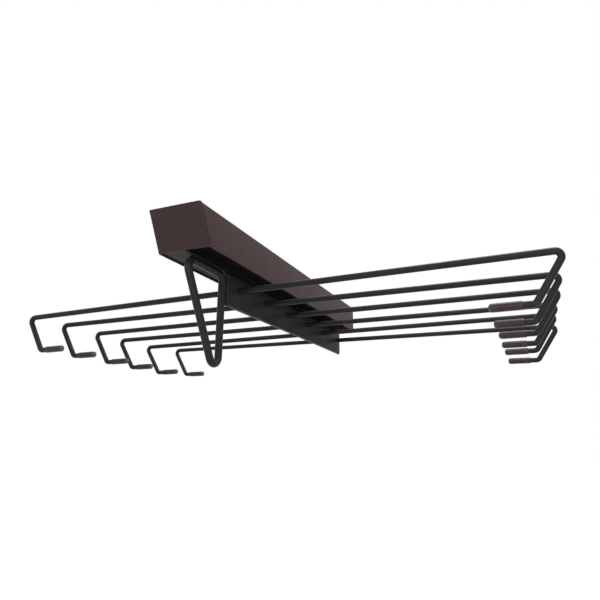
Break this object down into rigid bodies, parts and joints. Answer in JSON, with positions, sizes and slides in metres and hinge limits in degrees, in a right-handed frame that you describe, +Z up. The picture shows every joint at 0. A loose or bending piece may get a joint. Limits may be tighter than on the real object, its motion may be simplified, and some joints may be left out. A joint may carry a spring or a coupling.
{
  "type": "pull out trouser rack",
  "caption": "Trouser rack that hangs under a shelf and slides out on a ball-bearing runner, with bent rods on a folded steel carriage and a three-cornered wire pull.",
  "frame": {"origin": "middle of the housing's top face, which lies against the underside of the shelf", "axes": "+X to the right along the rods, -Y forwards in the direction in which the rack pulls out, +Z up"},
  "size_m": [0.6401, 0.4477, 0.1388],
  "materials": {
    "brown_powder_coat": "satin dark brown powder coat",
    "zinc_plated_slide": "zinc plated, rolled",
    "ball_cage_steel": "bare steel, lightly greased",
    "zinc_plated_fastener": "bright zinc plated",
    "end_sleeve_plastic": "soft dark brown sleeve",
    "bumper_rubber": "matt black"
  },
  "bodies": {
    "housing": {"housing": "brown_powder_coat", "slide_outer_member": "zinc_plated_slide", "slide_rear_bumper": "bumper_rubber", "slide_rivet_1": "zinc_plated_fastener", "slide_rivet_2": "zinc_plated_fastener", "slide_rivet_3": "zinc_plated_fastener", "slide_rivet_4": "zinc_plated_fastener"},
    "middle_member": {"slide_middle_member": "zinc_plated_slide"},
    "outer_cage": {"outer_ball_cage": "ball_cage_steel"},
    "inner_cage": {"inner_ball_cage": "ball_cage_steel"},
    "carriage": {"slide_inner_member": "zinc_plated_slide", "carriage": "brown_powder_coat", "front_cap": "brown_powder_coat", "pull_handle": "brown_powder_coat", "carriage_screw_1": "zinc_plated_fastener", "carriage_screw_2": "zinc_plated_fastener", "carriage_screw_3": "zinc_plated_fastener", "carriage_screw_4": "zinc_plated_fastener", "front_cap_nut_1": "zinc_plated_fastener", "front_cap_nut_2": "zinc_plated_fastener", "trouser_rod_1": "brown_powder_coat", "trouser_rod_2": "brown_powder_coat", "trouser_rod_3": "brown_powder_coat", "trouser_rod_4": "brown_powder_coat", "trouser_rod_5": "brown_powder_coat", "trouser_rod_6": "brown_powder_coat", "end_sleeve_left_1": "end_sleeve_plastic", "end_sleeve_right_1": "end_sleeve_plastic", "end_sleeve_left_2": "end_sleeve_plastic", "end_sleeve_right_2": "end_sleeve_plastic", "end_sleeve_left_3": "end_sleeve_plastic", "end_sleeve_right_3": "end_sleeve_plastic", "end_sleeve_left_4": "end_sleeve_plastic", "end_sleeve_right_4": "end_sleeve_plastic", "end_sleeve_left_5": "end_sleeve_plastic", "end_sleeve_right_5": "end_sleeve_plastic", "end_sleeve_left_6": "end_sleeve_plastic", "end_sleeve_right_6": "end_sleeve_plastic"}
  },
  "joints": [
    {"name": "carriage_slide", "type": "slide", "parent": "housing", "child": "carriage", "axis": [0, -1, 0], "range_m": [0, 0.4]},
    {"name": "middle_member_slide", "type": "slide", "parent": "housing", "child": "middle_member", "axis": [0, -1, 0], "range_m": [0, 0.2]},
    {"name": "outer_cage_roll", "type": "slide", "parent": "housing", "child": "outer_cage", "axis": [0, -1, 0], "range_m": [0, 0.1]},
    {"name": "inner_cage_roll", "type": "slide", "parent": "housing", "child": "inner_cage", "axis": [0, -1, 0], "range_m": [0, 0.3]}
  ],
  "couplings": [
    {"joint": "middle_member_slide", "follows": "carriage_slide", "ratio": 0.5},
    {"joint": "outer_cage_roll", "follows": "carriage_slide", "ratio": 0.25},
    {"joint": "inner_cage_roll", "follows": "carriage_slide", "ratio": 0.75}
  ]
}
